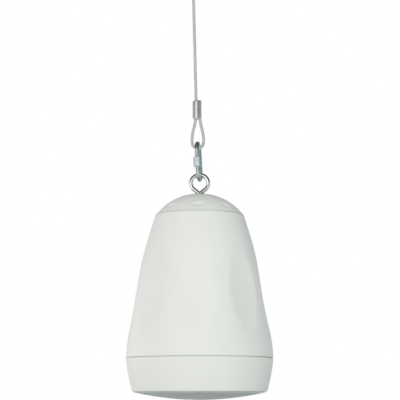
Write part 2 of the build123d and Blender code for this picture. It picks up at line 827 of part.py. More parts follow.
cloth_r = grille_r - grille_t - hang_gap
with BuildPart() as grille_cloth:
    with BuildSketch(section):
        with BuildLine():
            ThreePointArc(
                (0, grille_h(0, cloth_front_r)),
                (cloth_r / 2, grille_h(cloth_r / 2, cloth_front_r)),
                (cloth_r, grille_h(cloth_r, cloth_front_r)),
            )
            Line((cloth_r, grille_h(cloth_r, cloth_front_r)), (cloth_r, grille_h(cloth_r, cloth_back_r)))
            ThreePointArc(
                (cloth_r, grille_h(cloth_r, cloth_back_r)),
                (cloth_r / 2, grille_h(cloth_r / 2, cloth_back_r)),
                (0, grille_h(0, cloth_back_r)),
            )
            Line((0, grille_h(0, cloth_back_r)), (0, grille_h(0, cloth_front_r)))
        make_face()
    revolve(axis=speaker_axis)
save(grille_cloth, "grille_cloth")

# Driver, facing down
with BuildPart() as driver_gasket:
    with BuildSketch(level(frame_top_h)):
        Circle(frame_r - baffle_clearance)
        Circle(driver_cutout_r, mode=Mode.SUBTRACT)
        with PolarLocations(driver_screw_circle_r, 4):
            Circle(small_screw_r + hang_gap, mode=Mode.SUBTRACT)
    extrude(amount=driver_gasket_t)
save(driver_gasket, "driver_gasket")

basket_back_h = basket_top_h + basket_plate_t
with BuildPart() as driver_basket:
    with BuildSketch(section):
        with BuildLine():
            Polyline(
                (frame_inner_r, frame_foot_h),
                (frame_r, frame_foot_h),
                (frame_r, frame_top_h),
                (driver_cutout_r - hang_gap, frame_top_h),
                (basket_neck_r, basket_top_h - basket_wall),
                (basket_neck_r, basket_back_h),
                (magnet_inner_r, basket_back_h),
                (magnet_inner_r, basket_top_h),
                (basket_neck_r - basket_wall, basket_top_h),
                (basket_neck_r - basket_wall, basket_top_h - basket_wall),
                (frame_inner_r, frame_top_h - basket_lip),
                (frame_inner_r, frame_foot_h),
            )
        make_face()
    revolve(axis=speaker_axis)
    with BuildSketch(level(spider_ledge_h)):
        Circle(spider_ledge_outer_r)
        Circle(spider_ledge_inner_r, mode=Mode.SUBTRACT)
    extrude(amount=basket_wall)
    with BuildSketch(level(frame_top_h + window_margin)):
        with PolarLocations((frame_inner_r + spider_ledge_inner_r) / 2 + window_offset, 6, start_angle=30):
            Rectangle(frame_inner_r - spider_ledge_inner_r, window_width)
    extrude(amount=spider_ledge_h - frame_top_h - 2 * window_margin, mode=Mode.SUBTRACT)
    with BuildSketch(level(frame_foot_h)):
        with PolarLocations(driver_screw_circle_r, 4):
            Circle(small_screw_r + hang_gap)
    extrude(amount=frame_t, mode=Mode.SUBTRACT)
save(driver_basket, "driver_basket")

top_plate_h = basket_back_h
magnet_h = top_plate_h + top_plate_t
back_plate_h = magnet_h + magnet_t
with BuildPart() as driver_top_plate:
    with BuildSketch(level(top_plate_h)):
        Circle(top_plate_r)
        Circle(gap_outer_r, mode=Mode.SUBTRACT)
    extrude(amount=top_plate_t)
save(driver_top_plate, "driver_top_plate")

with BuildPart() as driver_magnet:
    with BuildSketch(level(magnet_h)):
        Circle(magnet_r)
        Circle(magnet_inner_r, mode=Mode.SUBTRACT)
    extrude(amount=magnet_t)
    chamfer(driver_magnet.edges().filter_by(GeomType.CIRCLE).sort_by(SortBy.RADIUS)[-2:], magnet_edge)
save(driver_magnet, "driver_magnet")

with BuildPart() as driver_back_plate:
    with BuildSketch(level(back_plate_h)):
        Circle(top_plate_r)
    extrude(amount=back_plate_t)
    with BuildSketch(level(top_plate_h)):
        Circle(pole_r)
    extrude(amount=back_plate_h - top_plate_h)
    with Locations(level(back_plate_h)):
        Cylinder(pole_vent_r, 2 * (back_plate_h - top_plate_h + 1), mode=Mode.SUBTRACT)
save(driver_back_plate, "driver_back_plate")

with BuildPart() as driver_cone:
    with BuildSketch(section):
        Polygon(
            (former_outer_r, cone_neck_h),
            (cone_r, cone_front_h),
            (cone_r, cone_front_h + cone_t),
            (former_outer_r, cone_neck_h + cone_t),
            align=None,
        )
    revolve(axis=speaker_axis)
save(driver_cone, "driver_cone")

cone_slope = (cone_neck_h - cone_front_h) / (cone_r - former_outer_r)
dust_edge_h = cone_neck_h - (dust_cap_r - former_outer_r) * cone_slope - thread_clearance
dust_sphere_r = (dust_cap_r**2 + dust_cap_depth**2) / (2 * dust_cap_depth)
dust_inner_r = dust_sphere_r - dust_cap_t
dust_sphere_h = dust_edge_h - dust_cap_depth + dust_sphere_r
dust_lip_r = sqrt(dust_inner_r**2 - (dust_sphere_h - dust_edge_h) ** 2)


def dust_point(r, shell_r):
    return (r, dust_sphere_h - sqrt(shell_r**2 - r**2))


with BuildPart() as dust_cap:
    with BuildSketch(section):
        with BuildLine():
            ThreePointArc(
                dust_point(0, dust_sphere_r),
                dust_point(dust_cap_r / 2, dust_sphere_r),
                dust_point(dust_cap_r, dust_sphere_r),
            )
            Line(dust_point(dust_cap_r, dust_sphere_r), dust_point(dust_lip_r, dust_inner_r))
            ThreePointArc(
                dust_point(dust_lip_r, dust_inner_r),
                dust_point(dust_lip_r / 2, dust_inner_r),
                dust_point(0, dust_inner_r),
            )
            Line(dust_point(0, dust_inner_r), dust_point(0, dust_sphere_r))
        make_face()
    revolve(axis=speaker_axis)
save(dust_cap, "dust_cap")

winding_foot_h = top_plate_h + (top_plate_t - coil_winding_height) / 2
former_foot_h = dust_edge_h + coil_margin
former_top_h = winding_foot_h + coil_winding_height + coil_margin
with BuildPart() as coil_former:
    with BuildSketch(level(former_foot_h)):
        Circle(former_outer_r)
        Circle(coil_r, mode=Mode.SUBTRACT)
    extrude(amount=former_top_h - former_foot_h)
save(coil_former, "coil_former")

with BuildPart() as coil_winding:
    with BuildSketch(level(winding_foot_h)):
        Circle(former_outer_r + coil_winding_t)
        Circle(former_outer_r, mode=Mode.SUBTRACT)
    extrude(amount=coil_winding_height)
save(coil_winding, "coil_winding")

surround_r = (frame_inner_r - cone_r - surround_t) / 2
surround_mid_r = (frame_inner_r + cone_r) / 2
surround_h = cone_front_h + cone_t
with BuildPart() as surround:
    with BuildSketch(section):
        with BuildLine():
            ThreePointArc(
                (surround_mid_r - surround_r, surround_h),
                (surround_mid_r, surround_h - surround_r),
                (surround_mid_r + surround_r, surround_h),
            )
        trace(line_width=surround_t)
    revolve(axis=speaker_axis)
save(surround, "surround")

spider_inner_r = former_outer_r + spider_t / 2
spider_pitch = (spider_outer_r - spider_inner_r) / spider_waves
spider_h = spider_ledge_h + basket_wall + spider_t / 2 + spider_rise
with BuildPart() as spider:
    with BuildSketch(section):
        with BuildLine():
            for wave in range(spider_waves):
                start_r = spider_inner_r + wave * spider_pitch
                rise = spider_rise if wave % 2 else -spider_rise
                ThreePointArc(
                    (start_r, spider_h),
                    (start_r + spider_pitch / 2, spider_h + rise),
                    (start_r + spider_pitch, spider_h),
                )
        trace(line_width=spider_t)
    revolve(axis=speaker_axis)
save(spider, "spider")

# Support plate, which carries the eye bolt, the transformer below it and the terminals above it
with BuildPart() as plate_gasket:
    with BuildSketch(level(ledge_top_h)):
        Circle(plate_r)
        Circle(ledge_inner_r, mode=Mode.SUBTRACT)
        with PolarLocations(plate_screw_circle_r, 4, start_angle=boss_angle):
            Circle(small_screw_r + hang_gap, mode=Mode.SUBTRACT)
    extrude(amount=plate_gasket_t)
save(plate_gasket, "plate_gasket")

with BuildPart() as support_plate:
    with BuildSketch(level(plate_foot_h)):
        Circle(plate_r)
        Circle(eye_wire_r + hang_gap, mode=Mode.SUBTRACT)
        with PolarLocations(plate_screw_circle_r, 4, start_angle=boss_angle):
            Circle(small_screw_r + hang_gap, mode=Mode.SUBTRACT)
        with PolarLocations(strap_screw_y, 2, start_angle=90):
            Circle(small_screw_r + thread_clearance, mode=Mode.SUBTRACT)
        with Locations((switch_x, 0)):
            Circle(knob_shaft_r + hang_gap, mode=Mode.SUBTRACT)
    extrude(amount=plate_t)
save(support_plate, "support_plate")

# Line transformer under the plate, held in a strap with two feet
core_foot_h = core_top_h - core_height
window_foot_h = core_foot_h + core_limb
window_width_y = core_width / 2 - 2 * core_limb
window_height = core_height - 2 * core_limb
with BuildPart() as transformer_core:
    with BuildSketch(level(core_foot_h)):
        Rectangle(core_depth, core_width)
    extrude(amount=core_height)
    with BuildSketch(level(window_foot_h)):
        with Locations((0, core_width / 4), (0, -core_width / 4)):
            Rectangle(core_depth, window_width_y)
    extrude(amount=window_height, mode=Mode.SUBTRACT)
save(transformer_core, "transformer_core")

limb_y = core_width / 4 - window_width_y / 2
with BuildPart() as transformer_winding:
    with BuildSketch(level(window_foot_h)):
        RectangleRounded(
            core_depth + 2 * winding_over_core, core_width / 2 + window_width_y - 2 * hang_gap, winding_corner_r
        )
        Rectangle(core_depth + 2 * hang_gap, 2 * limb_y + 2 * hang_gap, mode=Mode.SUBTRACT)
    extrude(amount=window_height - hang_gap)
save(transformer_winding, "transformer_winding")

with BuildPart() as transformer_strap:
    with BuildSketch(level(core_foot_h - strap_t)):
        Rectangle(strap_width, 2 * strap_outer_y)
    extrude(amount=plate_foot_h - core_foot_h + strap_t)
    with BuildSketch(level(core_foot_h)):
        Rectangle(strap_width, core_width)
    extrude(amount=plate_foot_h - core_foot_h, mode=Mode.SUBTRACT)
    with BuildSketch(level(plate_foot_h - strap_t)):
        with Locations((0, strap_screw_y), (0, -strap_screw_y)):
            Rectangle(strap_width, strap_foot)
            Circle(small_screw_r + hang_gap, mode=Mode.SUBTRACT)
    extrude(amount=strap_t)
save(transformer_strap, "transformer_strap")

screw_group(
    "strap_screws",
    plate_foot_h - strap_t,
    strap_screw_y,
    90,
    2,
    small_screw_r,
    small_screw_head_r,
    strap_t + plate_t - strap_screw_cover,
    -1,
)

# Terminal block on the plate, with three screw wells on top and wire entries on its outer side
with BuildPart() as terminal_block:
    with BuildSketch(level(plate_top_h)):
        with Locations((terminal_x, 0)):
            RectangleRounded(terminal_width, terminal_length, terminal_corner_r)
    extrude(amount=terminal_height)
    with BuildSketch(level(plate_top_h + terminal_height)):
        with Locations((terminal_x, 0)):
            with GridLocations(0, terminal_pitch, 1, 3):
                Circle(terminal_well_r)
    extrude(amount=-terminal_well_depth, mode=Mode.SUBTRACT)
    entry_x = speaker_x + terminal_x - terminal_width / 2
    entry_z = rim_z + plate_top_h + terminal_height / 2 - wire_entry_r
    with BuildSketch(Plane(origin=(entry_x, 0, entry_z), x_dir=(0, 1, 0), z_dir=(1, 0, 0))):
        with GridLocations(terminal_pitch, 0, 3, 1):
            Circle(wire_entry_r)
    extrude(amount=terminal_width / 2, mode=Mode.SUBTRACT)
save(terminal_block, "terminal_block")

with BuildPart() as terminal_screws:
    with BuildSketch(level(plate_top_h + terminal_height - terminal_well_depth)):
        with Locations((terminal_x, 0)):
            with GridLocations(0, terminal_pitch, 1, 3):
                Circle(terminal_well_r - hang_gap)
    extrude(amount=terminal_well_depth / 2)
    with BuildSketch(level(plate_top_h + terminal_height - terminal_well_depth / 2)):
        with Locations((terminal_x, 0)):
            with GridLocations(0, terminal_pitch, 1, 3):
                Rectangle(terminal_slot, 2 * terminal_well_r)
    extrude(amount=-terminal_well_depth / 4, mode=Mode.SUBTRACT)
save(terminal_screws, "terminal_screws")

# Tap selector: a rotary switch under the plate, and a slotted knob above it on a shaft
with BuildPart() as tap_switch:
    with BuildSketch(level(plate_foot_h)):
        with Locations((switch_x, 0)):
            RectangleRounded(switch_size, switch_size, switch_corner_r)
    extrude(amount=-knob_shaft_grip - hang_gap - switch_floor)
    with BuildSketch(level(plate_foot_h)):
        with Locations((switch_x, 0)):
            Circle(knob_shaft_r + thread_clearance)
    extrude(amount=-knob_shaft_grip - hang_gap, mode=Mode.SUBTRACT)
save(tap_switch, "tap_switch")

knob_foot_h = plate_top_h + hang_gap
with BuildPart() as tap_knob:
    with BuildSketch(level(knob_foot_h)):
        with Locations((switch_x, 0)):
            Circle(knob_r)
    extrude(amount=knob_height)
    chamfer(tap_knob.edges().group_by(Axis.Z)[-1], knob_edge)
    with BuildSketch(level(knob_foot_h + knob_height)):
        with Locations((switch_x, 0)):
            Rectangle(2 * knob_r, knob_slot)
    extrude(amount=-knob_slot, mode=Mode.SUBTRACT)
    with BuildSketch(level(plate_foot_h - knob_shaft_grip)):
        with Locations((switch_x, 0)):
            Circle(knob_shaft_r)
    extrude(amount=knob_foot_h - plate_foot_h + knob_shaft_grip)
save(tap_knob, "tap_knob")
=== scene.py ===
import json
import math

import bmesh
import bpy
import numpy as np
from mathutils import Matrix, Vector


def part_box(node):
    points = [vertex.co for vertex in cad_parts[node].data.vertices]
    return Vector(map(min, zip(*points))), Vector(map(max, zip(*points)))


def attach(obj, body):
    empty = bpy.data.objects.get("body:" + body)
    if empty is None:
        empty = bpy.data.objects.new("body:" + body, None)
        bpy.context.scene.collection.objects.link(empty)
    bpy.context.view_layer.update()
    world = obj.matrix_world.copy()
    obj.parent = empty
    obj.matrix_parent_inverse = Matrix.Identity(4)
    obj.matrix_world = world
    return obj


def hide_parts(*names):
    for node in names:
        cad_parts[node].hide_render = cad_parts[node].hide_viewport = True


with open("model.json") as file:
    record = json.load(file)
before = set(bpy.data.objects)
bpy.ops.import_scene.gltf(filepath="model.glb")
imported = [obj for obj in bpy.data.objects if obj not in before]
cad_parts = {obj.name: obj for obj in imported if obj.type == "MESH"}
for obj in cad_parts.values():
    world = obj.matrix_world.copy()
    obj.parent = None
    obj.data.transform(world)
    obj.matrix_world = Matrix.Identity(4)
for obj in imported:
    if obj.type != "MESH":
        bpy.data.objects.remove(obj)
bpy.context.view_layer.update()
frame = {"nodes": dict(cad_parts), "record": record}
nodes = frame["nodes"]
mm = 0.001
white = (1.0, 1.0, 1.0, 1.0)
print("frame loaded:", len(nodes), "nodes")

# The speaker's own axis and rim, read from the frame
shellLow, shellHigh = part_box("housing_shell")
axisX = (shellLow.x + shellHigh.x) / 2
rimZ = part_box("bottom_ring")[0].z

# What all finishes share. The two tones and the roughness come from noise
surface = {
    "toneDetail": 3.0,
    "toneSpread": (0.35, 0.65),  # part of the noise in which one tone turns to the other
    "roughDetail": 4.0,
    "roughPerTone": 1 / 3,  # roughness wanders in a third of the tones' distance
    "grainDetail": 2.0,
}


# A colour written as sRGB hex, turned to linear
def fromHex(text):
    channels = [int(text[i : i + 2], 16) / 255 for i in (0, 2, 4)]
    linear = [c / 12.92 if c <= 0.04045 else ((c + 0.055) / 1.055) ** 2.4 for c in channels]
    return (*linear, 1.0)


def addNode(tree, kind, inputs=None, links=None, **settings):
    node = tree.nodes.new(kind)
    for name, value in settings.items():
        setattr(node, name, value)
    for name, value in (inputs or {}).items():
        node.inputs[name].default_value = value
    for name, source in (links or {}).items():
        tree.links.new(source, node.inputs[name])
    return node


def startMaterial(name):
    material = bpy.data.materials.new(name)
    material.use_nodes = True
    return material, material.node_tree, material.node_tree.nodes["Principled BSDF"]


def setShader(shader, **values):
    for name, value in values.items():
        shader.inputs[name.replace("_", " ")].default_value = value


# Two tones drifting into each other over size millimetres
def drift(tree, shader, place, size, low, high):
    values = {"Scale": 1 / (size * mm), "Detail": surface["toneDetail"]}
    noise = addNode(tree, "ShaderNodeTexNoise", values, {"Vector": place})
    ramp = addNode(tree, "ShaderNodeValToRGB", links={"Fac": noise.outputs["Fac"]})
    ends = zip(ramp.color_ramp.elements, surface["toneSpread"], (low, high))
    for element, position, tone in ends:
        element.position = position
        element.color = fromHex(tone)
    tree.links.new(ramp.outputs["Color"], shader.inputs["Base Color"])


# Roughness that wanders between two values over size millimetres
def wipe(tree, shader, place, size, low, high):
    values = {"Scale": 1 / (size * mm), "Detail": surface["roughDetail"]}
    noise = addNode(tree, "ShaderNodeTexNoise", values, {"Vector": place})
    limits = {"To Min": low, "To Max": high}
    spread = addNode(tree, "ShaderNodeMapRange", limits, {"Value": noise.outputs["Fac"]})
    tree.links.new(spread.outputs["Result"], shader.inputs["Roughness"])


# A fine relief, its grains so wide and so deep in millimetres
def grain(tree, shader, place, width, depth):
    values = {"Scale": 1 / (width * mm), "Detail": surface["grainDetail"]}
    noise = addNode(tree, "ShaderNodeTexNoise", values, {"Vector": place})
    relief = {"Strength": 1.0, "Distance": depth * mm}
    bump = addNode(tree, "ShaderNodeBump", relief, {"Height": noise.outputs["Fac"]})
    tree.links.new(bump.outputs["Normal"], shader.inputs["Normal"])


# A finish from its two tones, the millimetres over which they change, its least and most
# roughness, and its grains' width and depth in millimetres
def makeFinish(name, tones, over, rough, grains, **values):
    material, tree, shader = startMaterial(name)
    place = addNode(tree, "ShaderNodeTexCoord").outputs["Object"]
    setShader(shader, **values)
    drift(tree, shader, place, over, *tones)
    wipe(tree, shader, place, over * surface["roughPerTone"], *rough)
    grain(tree, shader, place, *grains)
    return material


# Moulded ABS: an opaque white plastic with a satin spark-eroded skin, soft highlights
mouldedAbs = makeFinish(
    "moulded_abs", ("e6e7e2", "e9eae5"), over=90, rough=(0.42, 0.5), grains=(0.6, 0.01)
)
# Painted zinc casting: the same white as the housing, a little glossier
paintedCasting = makeFinish(
    "painted_casting", ("e2e3de", "e6e7e2"), over=30, rough=(0.36, 0.44), grains=(0.9, 0.004)
)
# Zinc-plated steel: bluish, slightly cloudy, not polished
zincPlated = makeFinish(
    "zinc_plated_steel",
    ("adb8b9", "c0cacb"),
    over=6,
    rough=(0.34, 0.46),
    grains=(1.2, 0.01),
    Metallic=1.0,
)
# Bright-plated steel: nearly a mirror, with faint unevenness from drawing
brightPlated = makeFinish(
    "bright_plated_steel",
    ("cfcfcb", "dcdcd8"),
    over=10,
    rough=(0.1, 0.18),
    grains=(1.2, 0.006),
    Metallic=1.0,
)
# Pressed aluminium: pale and satin, faintly uneven from the die
pressedAluminium = makeFinish(
    "pressed_aluminium",
    ("bdbdbe", "cfcfd0"),
    over=4,
    rough=(0.26, 0.34),
    grains=(0.8, 0.02),
    Metallic=1.0,
)
# Vinyl-coated wire rope: grey strands under a clear soft coat
coatedRope = makeFinish(
    "vinyl_coated_rope",
    ("b4b4b2", "c2c2c0"),
    over=3,
    rough=(0.3, 0.4),
    grains=(0.8, 0.006),
    Coat_Weight=0.4,
)
# Powder-coated steel: grey with a fine pimpled skin
powderGrey = makeFinish(
    "powder_coated_steel", ("bfc6c2", "c9d0cc"), over=20, rough=(0.42, 0.52), grains=(0.7, 0.01)
)
# Woven speaker cloth: black and light-absorbing
speakerCloth = makeFinish(
    "woven_speaker_cloth", ("111212", "1c1d1d"), over=1, rough=(0.85, 0.95), grains=(0.6, 0.06)
)
# Black EPDM rubber: matt, slightly greyed
blackRubber = makeFinish(
    "epdm_rubber", ("151515", "1f1f1f"), over=10, rough=(0.6, 0.75), grains=(0.8, 0.02)
)
# Pressed fibre board: brown, speckled with fibre
fibreBoard = makeFinish(
    "fibre_board", ("8b6a48", "a27d57"), over=1.5, rough=(0.75, 0.85), grains=(0.8, 0.04)
)
# Stoved enamel on stamped steel: black, evenly semi-gloss
stovedBlack = makeFinish(
    "stoved_enamel", ("121212", "191919"), over=20, rough=(0.3, 0.42), grains=(0.9, 0.01)
)
# Ground ferrite: dull charcoal ceramic
groundFerrite = makeFinish(
    "ground_ferrite", ("2b2b2d", "38383a"), over=4, rough=(0.5, 0.62), grains=(1.0, 0.02)
)
# Pulp cone paper: dark grey felted fibre
pulpPaper = makeFinish(
    "pulp_paper", ("1d1c1b", "2b2a28"), over=1.2, rough=(0.8, 0.9), grains=(0.8, 0.05)
)
# Enamelled copper wire: brown-red and shiny
enamelCopper = makeFinish(
    "enamelled_copper",
    ("8a4520", "a55a2c"),
    over=2,
    rough=(0.25, 0.35),
    grains=(0.5, 0.06),
    Metallic=1.0,
)
# Phenolic-stiffened cotton: amber-brown and matt
stiffCotton = makeFinish(
    "stiffened_cotton", ("8a6a2c", "a07f3a"), over=1.5, rough=(0.75, 0.9), grains=(0.6, 0.06)
)
# Laminated electrical steel: blue-black oxide, speckled at the sheets' edges
oxideSteel = makeFinish(
    "oxide_steel",
    ("3f4347", "585c60"),
    over=1,
    rough=(0.45, 0.6),
    grains=(0.5, 0.05),
    Metallic=1.0,
)
# Phenolic moulding: black, semi-gloss
phenolic = makeFinish(
    "phenolic_moulding", ("1a1a1b", "242425"), over=10, rough=(0.32, 0.42), grains=(0.8, 0.01)
)
# Plain brass: yellow and satin
plainBrass = makeFinish(
    "plain_brass",
    ("b08d4c", "c7a35e"),
    over=3,
    rough=(0.3, 0.42),
    grains=(0.8, 0.01),
    Metallic=1.0,
)

finishes = {
    "white_shell": mouldedAbs,
    "white_fitting": paintedCasting,
    "rope_coat": coatedRope,
    "pressed_aluminium": pressedAluminium,
    "zinc_steel": zincPlated,
    "bright_steel": brightPlated,
    "grey_mesh": powderGrey,
    "black_cloth": speakerCloth,
    "black_rubber": blackRubber,
    "pressed_board": fibreBoard,
    "black_basket": stovedBlack,
    "plated_steel": zincPlated,
    "ferrite": groundFerrite,
    "cone_paper": pulpPaper,
    "former_foil": pressedAluminium,
    "copper_wire": enamelCopper,
    "spider_cloth": stiffCotton,
    "laminated_steel": oxideSteel,
    "terminal_plastic": phenolic,
    "terminal_brass": plainBrass,
}
for part in frame["record"]["subparts"]:
    materials = nodes[part["node"]].data.materials
    materials.clear()
    materials.append(finishes[part["material_slot"]])
print("finishes on the frame's nodes")

# Piece making. The pieces' sizes are in millimetres, their heights over the speaker's rim
mergeGap = 0.00001  # metres, below which two vertices become one
cornerShare = 0.3  # where the middle of a rounded corner lies, as a share of its radius


def addObject(name, data):
    thing = bpy.data.objects.new(name, data)
    bpy.context.scene.collection.objects.link(thing)
    return thing


# The mesh that a curve or an object with modifiers makes. The object itself goes
def takeMesh(holder):
    evaluated = holder.evaluated_get(bpy.context.evaluated_depsgraph_get())
    mesh = bpy.data.meshes.new_from_object(evaluated)
    bpy.data.objects.remove(holder)
    return mesh


def finishPiece(name, bm, material, body, slot, *replaced):
    bmesh.ops.remove_doubles(bm, verts=bm.verts, dist=mergeGap)
    bmesh.ops.recalc_face_normals(bm, faces=bm.faces)
    mesh = bpy.data.meshes.new(name)
    bm.to_mesh(mesh)
    bm.free()
    mesh.polygons.foreach_set("use_smooth", [True] * len(mesh.polygons))
    piece = addObject(name, mesh)
    mesh.materials.append(material)
    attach(piece, body)
    if replaced:
        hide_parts(*replaced)
    return piece


# A profile of (radius, height), spun about the speaker's axis
def spinProfile(profile, steps):
    bm = bmesh.new()
    line = [bm.verts.new((axisX + r * mm, 0, rimZ + h * mm)) for r, h in profile]
    edges = [bm.edges.new(pair) for pair in zip(line, line[1:])]
    bmesh.ops.spin(
        bm,
        geom=line + edges,
        cent=(axisX, 0, 0),
        axis=(0, 0, 1),
        angle=2 * math.pi,
        steps=steps,
        use_merge=True,
    )
    return bm


# A natural cubic spline through (radius, height) points, as the radius at a height
def curveThrough(points):
    heights = np.array([h for r, h in points])
    radii = np.array([r for r, h in points])
    steps = np.diff(heights)
    slopes = np.diff(radii) / steps
    last = len(points) - 1
    matrix = np.eye(len(points))
    bends = np.zeros(len(points))
    for i in range(1, last):
        matrix[i, i - 1 : i + 2] = steps[i - 1], 2 * (steps[i - 1] + steps[i]), steps[i]
        bends[i] = 6 * (slopes[i] - slopes[i - 1])
    bends = np.linalg.solve(matrix, bends)

    def radiusAt(h):
        i = int(np.clip(np.searchsorted(heights, h) - 1, 0, last - 1))
        over, under = (heights[i + 1] - h) / steps[i], (h - heights[i]) / steps[i]
        bend = (over**3 - over) * bends[i] + (under**3 - under) * bends[i + 1]
        return float(over * radii[i] + under * radii[i + 1] + bend * steps[i] ** 2 / 6)

    return radiusAt


# Zero below zero, and value above it, with a rounded change-over
def softStep(value, rounding):
    farOff = 40  # in roundings, where the change-over no longer shows
    ratio = value / rounding
    return value if ratio > farOff else rounding * math.log1p(math.exp(ratio))


bell = {
    "outline": [
        (99.8, 45.1),
        (98.21, 64.8),
        (93.61, 94.7),
        (88.4, 129.85),
        (80.91, 169.3),
        (70.89, 206.8),
        (61.1, 238.6),
    ],
    "recessFloor": [
        (98.47, 69.7),
        (96.45, 76.6),
        (93.56, 86.7),
        (89.12, 104.9),
        (84.42, 129.4),
        (81.21, 153.1),
        (76.32, 184.6),
        (71.68, 206.5),
        (70.59, 212.1),
    ],
    "recessAxis": 395.0,  # how far out the recesses' own centre lies
    "recessCount": 8,
    "turn": -2.6,  # degrees, of the first recess from the front
    "edgeRounding": 0.35,
    "wall": 3.0,
    "lip": 0.5,  # rounding at the open ends
    "around": 448,
    "up": 132,
}


# How far a bearing lies from the middle of the nearest recess, which a dimple of the cap is over
def offRecess(bearing):
    step = 2 * math.pi / bell["recessCount"]
    first = math.radians(bell["turn"]) - math.pi / 2
    return (bearing - first + step / 2) % step - step / 2


def makeBell():
    outline = curveThrough(bell["outline"])
    recessFloor = curveThrough(bell["recessFloor"])
    floorLow, floorHigh = bell["recessFloor"][0][1], bell["recessFloor"][-1][1]
    (footR, low), (topR, high) = bell["outline"][0], bell["outline"][-1]
    lip, wall = bell["lip"], bell["wall"]
    corner = cornerShare * lip
    profile = [(footR - wall, low), (footR - lip, low), (footR - corner, low + corner)]
    profile += [(outline(h), h) for h in np.linspace(low + lip, high - lip, bell["up"] + 1)]
    profile += [(topR - corner, high - corner), (topR - lip, high), (topR - wall, high)]
    bm = spinProfile(profile, bell["around"])
    for vert in bm.verts:
        h = (vert.co.z - rimZ) / mm
        if not floorLow < h < floorHigh:
            continue
        x, y = vert.co.x - axisX, vert.co.y
        off = offRecess(math.atan2(y, x))
        reach = bell["recessAxis"] - recessFloor(h)
        across = bell["recessAxis"] * math.sin(off)
        cut = bell["recessAxis"] * math.cos(off) - math.sqrt(reach**2 - across**2)
        plain = outline(h)
        wanted = plain - softStep(plain - cut, bell["edgeRounding"])
        vert.co.x = axisX + x * wanted / plain
        vert.co.y = y * wanted / plain
    return finishPiece("housing_skin", bm, mouldedAbs, "speaker", "white_shell", "housing_shell")


housing = makeBell()
print("housing made:", len(housing.data.polygons), "faces")

dome = {
    "sphereR": 75.57,
    "sphereH": 194.03,  # height of its centre
    "cornerR": 59.2,  # where the dome starts, inside the skirt
    "flatR": 17.0,  # the flat that the washer lies on
    "seatR": 58.8,
    "skirt": [
        (60.4, 239.2),
        (60.72, 239.32),
        (60.6, 239.6),
        (60.35, 240.2),
        (59.9, 240.65),
        (59.45, 240.93),
    ],
    "holeR": 3.1,  # the eye bolt's
    "holeDepth": 3.0,
    "dimpleRing": 52.3,
    "dimpleDepth": 1.5,
    "dimpleHalf": (9.25, 5.0),  # across and along the slope
    "dimpleRounding": 0.12,
    "inletRing": 27.0,
    "inletR": 5.4,
    "slack": 0.1,  # how near the sphere a vertex lies that belongs to it
    "around": 448,
    "up": 72,
}


def makeDome():
    sphereR, centreH = dome["sphereR"], dome["sphereH"]
    flatH = centreH + math.sqrt(sphereR**2 - dome["flatR"] ** 2)
    lowTilt, highTilt = math.asin(dome["cornerR"] / sphereR), math.asin(dome["flatR"] / sphereR)
    tilts = np.linspace(lowTilt, highTilt, dome["up"])
    seatLow, seatHigh = bell["outline"][-1][1], dome["skirt"][0][1]
    profile = [(dome["seatR"], seatLow), (dome["seatR"], seatHigh)] + dome["skirt"]
    profile += [(sphereR * math.sin(tilt), centreH + sphereR * math.cos(tilt)) for tilt in tilts]
    profile += [(dome["holeR"], flatH), (dome["holeR"], flatH - dome["holeDepth"])]
    bm = spinProfile(profile, dome["around"])
    centre = Vector((axisX, 0, rimZ + centreH * mm))
    ringTilt = math.asin(dome["dimpleRing"] / sphereR)
    halfAcross, halfAlong = dome["dimpleHalf"]
    for vert in bm.verts:
        out = (vert.co - centre) / mm
        if abs(out.length - sphereR) > dome["slack"]:
            continue
        r = math.hypot(out.x, out.y)
        across = r * math.sin(offRecess(math.atan2(out.y, out.x)))
        along = sphereR * (math.atan2(r, out.z) - ringTilt)
        depth = dome["dimpleDepth"] * (1 - (across / halfAcross) ** 2 - (along / halfAlong) ** 2)
        vert.co -= out.normalized() * softStep(depth, dome["dimpleRounding"]) * mm
    inletTilt = math.asin(dome["inletRing"] / sphereR)
    inletAxis = Vector((0, math.sin(inletTilt), math.cos(inletTilt)))

    def inInlet(face):
        away = face.calc_center_median() - centre
        return away.dot(inletAxis) > 0 and inletAxis.cross(away).length < dome["inletR"] * mm

    bmesh.ops.delete(bm, geom=[face for face in bm.faces if inInlet(face)], context="FACES")
    return finishPiece("cap_skin", bm, mouldedAbs, "speaker", "white_shell", "top_cap")


cap = makeDome()
print("cap made:", len(cap.data.polygons), "faces")

# Bottom ring: its bulging outer side, the step that the housing sits on, the grille's pocket
ring = {
    "rim": (91.2, 0.0),
    "bulge": (96.6, 21.95),
    "top": (99.9, 43.9),
    "inside": [
        (98.0, 43.9),
        (98.0, 45.1),
        (95.8, 45.1),
        (95.8, 52.7),
        (93.1, 52.7),
        (93.1, 45.1),
        (91.2, 22.0),
        (91.2, 12.0),
        (79.2, 12.0),
        (79.2, 9.0),
        (89.9, 9.0),
    ],
    "pocketR": 89.9,
    "edge": 0.35,
    "rimCorner": (0.7, 0.1),  # how far in its two points lie, as shares of the edge's rounding
    "around": 320,
    "up": 24,
}


def makeRing():
    edge, (rimR, low), (topR, high) = ring["edge"], ring["rim"], ring["top"]
    corner = cornerShare * edge
    rimIn, rimOut = (rimR - share * edge for share in ring["rimCorner"])
    side = curveThrough([ring["rim"], ring["bulge"], ring["top"]])
    profile = [(ring["pocketR"] + corner, low + corner), (ring["pocketR"] + edge, low)]
    profile += [(rimIn, low), (rimOut, low + corner)]
    profile += [(side(h), h) for h in np.linspace(low + edge, high - edge, ring["up"])]
    profile += [(topR - corner, high - corner), (topR - edge, high)]
    profile += ring["inside"] + [profile[0]]
    bm = spinProfile(profile, ring["around"])
    return finishPiece("ring_skin", bm, mouldedAbs, "speaker", "white_shell", "bottom_ring")


bottomRing = makeRing()
print("ring made:", len(bottomRing.data.polygons), "faces")

